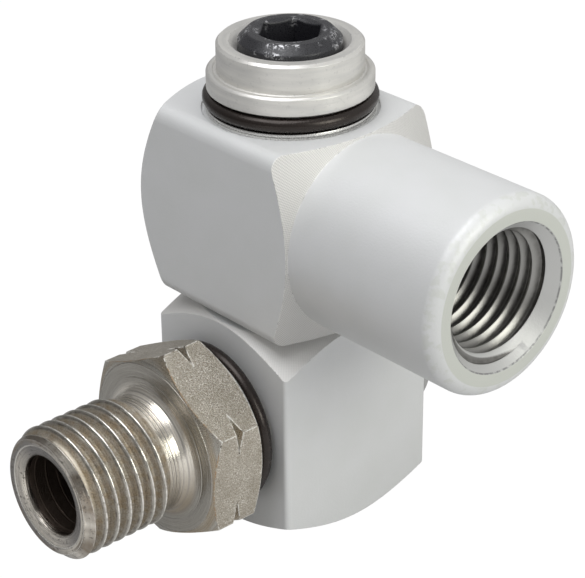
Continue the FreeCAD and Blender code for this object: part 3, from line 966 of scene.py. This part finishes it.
upperAluminium = makeAluminium("blastedUpperBody", upperBody)
lowerAluminium = makeAluminium("blastedLowerBody", lowerBody)
ringAluminium = makeTurnedAluminium("turnedCollar")
threadNickel = makeNickelThread("nickelThread")
hexNickel = makeNickelHexagon("nickelHexagon")
washerSteel = makeSteel("washerSteel", washers)
collarSteel = makeSteel("rearCollarSteel", rearCollar)
plugBlack = makeBlackOxide("blackPlugScrew", plugScrew)
rearBlack = makeBlackOxide("blackRearScrew", rearScrew)
oiledRubber = makeRubber("oiledRingRubber", ringRubber)
plainRubber = makeRubber("sealRubber", sealRubber)
thrustPlastic = makeRubber("thrustPlastic", washerPlastic)
print("materials made")

nodeMaterials = {
    "upper_body": upperAluminium, "lower_body": lowerAluminium, "pivot_stem": ringAluminium,
    "retaining_collar": ringAluminium, "male_nipple": hexNickel, "plug_screw": plugBlack,
    "rear_screw": rearBlack, "rear_collar": collarSteel, "top_washer": washerSteel,
    "hex_washer": washerSteel, "top_dust_ring": oiledRubber, "hex_dust_ring": oiledRubber,
    "stem_foot_seal": plainRubber, "stem_lower_seal": plainRubber, "stem_upper_seal": plainRubber,
    "nipple_front_seal": plainRubber, "nipple_rear_seal": plainRubber,
    "parting_washer": thrustPlastic, "rear_washer": thrustPlastic, "plug_seal": thrustPlastic,
}
for nodeName, nodeMaterial in nodeMaterials.items():
    mesh = nodes[nodeName].data
    mesh.materials.clear()
    mesh.materials.append(nodeMaterial)


# Pipe thread: one tooth, with its flanks at shares of the pitch, is wound up its axis
pipeThread = {
    "pitch": 1.411,
    "major": 6.57,
    "minor": 5.73,
    "flankFrom": 0.13,
    "flankTo": 0.44,
    "steps": 120,
}


def windThread(bm, root, crest, low, turns, rounding):
    pitch = pipeThread["pitch"]
    foot = pipeThread["flankFrom"]
    top = pipeThread["flankTo"]
    tooth = [(root, 0.0), (root, foot), (crest, top), (crest, 1 - top), (root, 1 - foot)]
    points = [(radius, low + number * pitch + share * pitch)
              for number in range(turns) for radius, share in tooth]
    points.append((root, low + turns * pitch))
    verts = drawProfile(bm, points, closed=False)
    bmesh.ops.bevel(bm, geom=verts[1:-1], offset=rounding, segments=2, profile=0.5,
                    affect="VERTICES", material=-1)
    spinRound(bm, pipeThread["steps"], rise=pitch)
    mergeClose(bm, tolerance["turns"])


# Front of the nipple: end face, pipe thread, run-out, neck, fillet and the turned face of the hexagon
nippleFront = {
    "threadFrom": 17.03,
    "turns": 12,
    "rounding": 0.07,
    "end": 31.09,
    "endRadius": 5.80,
    "runOutEnd": 20.90,
    "runOutRadius": 5.75,
    "runOutSlope": 1.5,
    "joint": 18.19,
    "jointRadius": 8.76,
    "bore": 4.0,
    "neck": [(5.75, 20.80), (5.75, 20.40), (5.75, 20.10), (5.76, 19.80), (5.80, 19.55), (5.90, 19.25),
             (6.10, 18.93), (6.42, 18.66), (6.80, 18.47), (7.22, 18.36), (7.30, 18.36), (7.34, 18.31),
             (7.42, 18.33), (8.05, 18.28), (8.45, 18.24), (8.66, 18.215), (8.75, 18.195)],
    "face": [(5.76, 31.095), (5.24, 31.07), (5.16, 31.01), (5.06, 30.98), (4.70, 30.94), (4.40, 30.87),
             (4.20, 30.80), (4.08, 30.72), (4.02, 30.60)],
}

# Low rings that a drill has left in the bore: height and distance from the start of each ring
boreRings = {
    "count": 9,
    "first": 29.6,
    "spacing": 1.25,
    "profile": [(0.0, 0.0), (0.05, 0.06), (0.05, 0.16), (0.0, 0.5)],
}


def frontRadius(radius, along):
    size = nippleFront
    endLimit = size["endRadius"] + (size["end"] - along)
    runLimit = size["runOutRadius"] + max(0.0, along - size["runOutEnd"]) * size["runOutSlope"]
    return min(radius, endLimit, runLimit)


def makeNippleFront():
    size = nippleFront
    bm = bmesh.new()
    windThread(bm, pipeThread["minor"], pipeThread["major"],
               size["threadFrom"], size["turns"], size["rounding"])
    cutAcross(bm, size["end"], keepAbove=False)
    cutAcross(bm, size["runOutEnd"], keepAbove=True)
    setRadii(bm, frontRadius)
    toJoint = size["neck"] + [(size["jointRadius"], size["joint"]), (size["bore"], size["joint"])]
    rear = growLoop(bm, openLoop(bm, size["runOutEnd"]), toJoint)
    rings = [(size["bore"] - height, boreRings["first"] - boreRings["spacing"] * number - distance)
             for number in range(boreRings["count"]) for height, distance in boreRings["profile"]]
    front = growLoop(bm, openLoop(bm, size["end"]), size["face"] + rings)
    bmesh.ops.bridge_loops(bm, edges=front + rear)
    return finishPiece(bm, "nipple_thread_and_neck", "nipple", threadNickel, alongNipple)


nippleThreadPiece = makeNippleFront()
print("nipple front made")


# Hexagon, hub and shank: the CAD nipple cut off behind its neck
def makeNippleRear():
    bm = copyCad("male_nipple", alongNipple)
    cutAcross(bm, nippleFront["joint"], keepAbove=False)
    bmesh.ops.bridge_loops(bm, edges=openLoop(bm, nippleFront["joint"]))
    return finishPiece(
        bm, "nipple_hexagon", "nipple", hexNickel, alongNipple, smoothLimit=20.0)


nippleRearPiece = makeNippleRear()
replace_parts(nippleThreadPiece, "male_nipple")
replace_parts(nippleRearPiece, "male_nipple")
print("nipple rear made")


def portRadius(radius, along):
    countersink = port["mouthRadius"] - (port["mouth"] - along)
    fade = port["crest"] + max(0.0, along - port["threadEnd"]) * port["fadeSlope"]
    return max(min(radius, fade), min(port["root"], countersink))


def makePortThread():
    bm = bmesh.new()
    windThread(bm, port["root"], port["crest"], port["turnsFrom"], port["turns"], port["rounding"])
    cutAcross(bm, port["threadStart"], keepAbove=False)
    cutAcross(bm, port["threadEnd"], keepAbove=True)
    setRadii(bm, portRadius)
    growLoop(bm, openLoop(bm, port["threadEnd"]), [
        (port["crest"], port["threadEnd"] - port["runOut"]),
        (port["crest"], port["drillEnd"] + port["joinGap"])])
    mesh = bpy.data.meshes.new("portThreadSurface")
    bm.to_mesh(mesh)
    bm.free()
    return mesh


# Upper body: the CAD solid with the true thread wound into its port
def makeUpperBody():
    bm = copyCad("upper_body", alongPort)
    deepest = port["drillEnd"] - port["joinGap"]
    portFaces = []
    for face in bm.faces:
        middle = face.calc_center_median()
        if math.hypot(middle.x, middle.y) < port["mouthRadius"] and middle.z > deepest:
            portFaces.append(face)
    bmesh.ops.delete(bm, geom=portFaces, context="FACES")
    threadMesh = makePortThread()
    bm.from_mesh(threadMesh)
    bpy.data.meshes.remove(threadMesh)
    threadFoot = port["drillEnd"] + port["joinGap"]
    for outer, inner in ((port["mouth"], port["threadStart"]), (port["drillEnd"], threadFoot)):
        bmesh.ops.bridge_loops(bm, edges=openLoop(bm, outer) + openLoop(bm, inner))
    return finishPiece(
        bm, "upper_body_with_thread", "upper", upperAluminium, alongPort,
        smoothLimit=22.0)


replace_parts(makeUpperBody(), "upper_body")
print("upper body made")


# Dust rings
dustRing = {
    "section": 0.7,
    "middleRadius": 7.75,
    "steps": 128,
    "sides": 28,
}


def makeDustRing(name, node, body, along, place):
    bm = bmesh.new()
    moved = Matrix.Translation((dustRing["middleRadius"], 0, along))
    standing = Matrix.Rotation(math.radians(90), 4, "X")
    bmesh.ops.create_circle(
        bm, segments=dustRing["sides"], radius=dustRing["section"], matrix=moved @ standing)
    spinRound(bm, dustRing["steps"])
    piece = finishPiece(bm, name, body, oiledRubber, place, smoothLimit=60.0)
    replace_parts(piece, node)


makeDustRing("top_ring_seal", "top_dust_ring", "lower", 43.67, upright)
makeDustRing("hexagon_ring_seal", "hex_dust_ring", "nipple", 10.73, alongNipple)

# Collar and washers, with their edges broken
collar = {
    "profile": [(7.05, 44.55), (7.95, 44.55), (8.04, 44.64), (8.04, 46.16), (7.80, 46.40), (7.42, 46.40),
                (7.33, 46.30), (7.22, 46.30), (7.16, 46.36), (7.05, 46.40)],
    "steps": 128,
    "edge": 0.05,
}
collarPiece = turnedPiece("bevelled_collar", collar, "lower", ringAluminium, upright)
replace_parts(collarPiece, "retaining_collar")

topWasher = {
    "profile": [(7.08, 42.30), (8.15, 42.30), (8.15, 42.90), (7.08, 42.90)],
    "steps": 128,
    "edge": 0.1,
}
topWasherPiece = turnedPiece("bright_top_washer", topWasher, "upper", washerSteel, upright)
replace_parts(topWasherPiece, "top_washer")

hexWasher = {
    "profile": [(7.07, 11.50), (8.28, 11.50), (8.28, 12.00), (7.07, 12.00)],
    "steps": 128,
    "edge": 0.08,
}
hexWasherPiece = turnedPiece(
    "bright_hexagon_washer", hexWasher, "nipple", washerSteel, alongNipple)
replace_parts(hexWasherPiece, "hex_washer")
print("rings and washers made")


# Floor and studio light. The floor's mirrored light changes from the first to the second place of
# paleAcross and of ahead, in metres.
studio = {
    "floorSize": 1.2,
    "floorDrop": 0.00002,
    "floorColour": (0.38, 0.38, 0.38),
    "floorGlow": 1.05,
    "floorSeen": 0.96,
    "floorMirrored": (0.10, 0.75),
    "paleAcross": (-0.01, 0.03),
    "ahead": (-0.040, -0.052),
    "aheadMirrored": 0.20,
    "brightSide": (0.45, 0.47, 0.82),
    "darkest": 0.05,
    "lightest": 0.62,
}


# A pale floor that the camera sees as plain white and bright metal mirrors in grey
def makeFloorMaterial():
    material = bpy.data.materials.new("paleFloor")
    material.use_nodes = True
    tree = material.node_tree
    tree.nodes.clear()
    diffuse = addNode(tree, "ShaderNodeBsdfDiffuse", {"Color": (*studio["floorColour"], 1.0)})
    glow = addNode(tree, "ShaderNodeEmission", {"Color": (1, 1, 1, 1), "Strength": studio["floorGlow"]})
    path = addNode(tree, "ShaderNodeLightPath").outputs
    place = addNode(tree, "ShaderNodeTexCoord").outputs["Object"]
    spot = addNode(tree, "ShaderNodeSeparateXYZ", {0: place}).outputs
    pale = remap(tree, spot["X"], *studio["paleAcross"], *studio["floorMirrored"])
    ahead = remap(tree, spot["Y"], *studio["ahead"], 0.0, studio["aheadMirrored"])
    mirrored = product(tree, path["Is Glossy Ray"], mathNode(tree, "MAXIMUM", pale, ahead))
    seen = mathNode(tree, "MAXIMUM", product(tree, path["Is Camera Ray"], studio["floorSeen"]), mirrored)
    mixed = addNode(tree, "ShaderNodeMixShader", {0: seen, 1: diffuse.outputs[0], 2: glow.outputs[0]})
    addNode(tree, "ShaderNodeOutputMaterial", {"Surface": mixed.outputs[0]})
    return material


def makeFloor():
    bm = bmesh.new()
    bmesh.ops.create_grid(bm, x_segments=1, y_segments=1, size=studio["floorSize"])
    bmesh.ops.translate(bm, vec=(0, 0, -studio["floorDrop"]), verts=bm.verts[:])
    mesh = bpy.data.meshes.new("floor")
    bm.to_mesh(mesh)
    bm.free()
    mesh.materials.append(makeFloorMaterial())
    floor = bpy.data.objects.new("floor", mesh)
    bpy.context.scene.collection.objects.link(floor)


def makeWorld():
    world = bpy.data.worlds.new("studioWorld")
    bpy.context.scene.world = world
    world.use_nodes = True
    tree = world.node_tree
    direction = addNode(tree, "ShaderNodeTexCoord").outputs["Generated"]
    facing = vectorNode(tree, "DOT_PRODUCT", direction, Vector(studio["brightSide"]).normalized())
    level = remap(tree, facing.outputs["Value"], -1.0, 1.0, studio["darkest"], studio["lightest"])
    path = addNode(tree, "ShaderNodeLightPath").outputs
    seen = addNode(tree, "ShaderNodeMix", {"Factor": path["Is Camera Ray"], "A": level, "B": 1.0})
    background = tree.nodes["Background"].inputs
    plug(tree, background["Color"], (1, 1, 1, 1))
    plug(tree, background["Strength"], seen.outputs["Result"])


# Square lamps: place and aim in metres
lamps = {
    "overheadLamp": {"place": (0.0, -0.13, 0.41), "size": 0.30, "power": 0.85, "colour": (0.965, 0.975, 1)},
    "rightLamp": {"place": (0.42, 0.06, 0.22), "size": 0.24, "power": 0.73, "colour": (0.985, 0.995, 0.92)},
}
lampAim = Vector((0, 0, 0.02))


def addLamp(name, lamp):
    data = bpy.data.lights.new(name, "AREA")
    data.shape = "RECTANGLE"
    data.size = lamp["size"]
    data.size_y = lamp["size"]
    data.energy = lamp["power"]
    data.color = lamp["colour"]
    lampObject = bpy.data.objects.new(name, data)
    bpy.context.scene.collection.objects.link(lampObject)
    place = Vector(lamp["place"])
    lampObject.location = place
    lampObject.rotation_euler = (lampAim - place).to_track_quat("-Z", "Y").to_euler()


makeFloor()
makeWorld()
for lampName, lampSettings in lamps.items():
    addLamp(lampName, lampSettings)


# Camera at the photograph's angle
shot = {
    "azimuth": 48.10,
    "elevation": 27.71,
    "roll": -0.53,
    "distance": 215.3,
    "aim": (0.0, 0.0, 22.65),
    "lens": 133.07,
    "sensor": 36,
}


def makeCamera():
    turn = math.radians(shot["azimuth"])
    lift = math.radians(shot["elevation"])
    roll = math.radians(shot["roll"])
    back = Vector((math.sin(turn) * math.cos(lift), -math.cos(turn) * math.cos(lift), math.sin(lift)))
    right = Vector((math.cos(turn), math.sin(turn), 0))
    up = back.cross(right)
    rolledRight = math.cos(roll) * right + math.sin(roll) * up
    rolledUp = math.cos(roll) * up - math.sin(roll) * right
    data = bpy.data.cameras.new("camera")
    data.lens = shot["lens"]
    data.sensor_width = shot["sensor"]
    data.clip_start = 0.01
    data.clip_end = 10
    camera = bpy.data.objects.new("camera", data)
    bpy.context.scene.collection.objects.link(camera)
    spot = (Vector(shot["aim"]) + shot["distance"] * back) * millimetre
    axes = Matrix((rolledRight, rolledUp, back)).transposed()
    camera.matrix_world = Matrix.Translation(spot) @ axes.to_4x4()
    bpy.context.scene.camera = camera


makeCamera()
bpy.context.scene.view_settings.view_transform = "Standard"
print("stage, lamps and camera set")
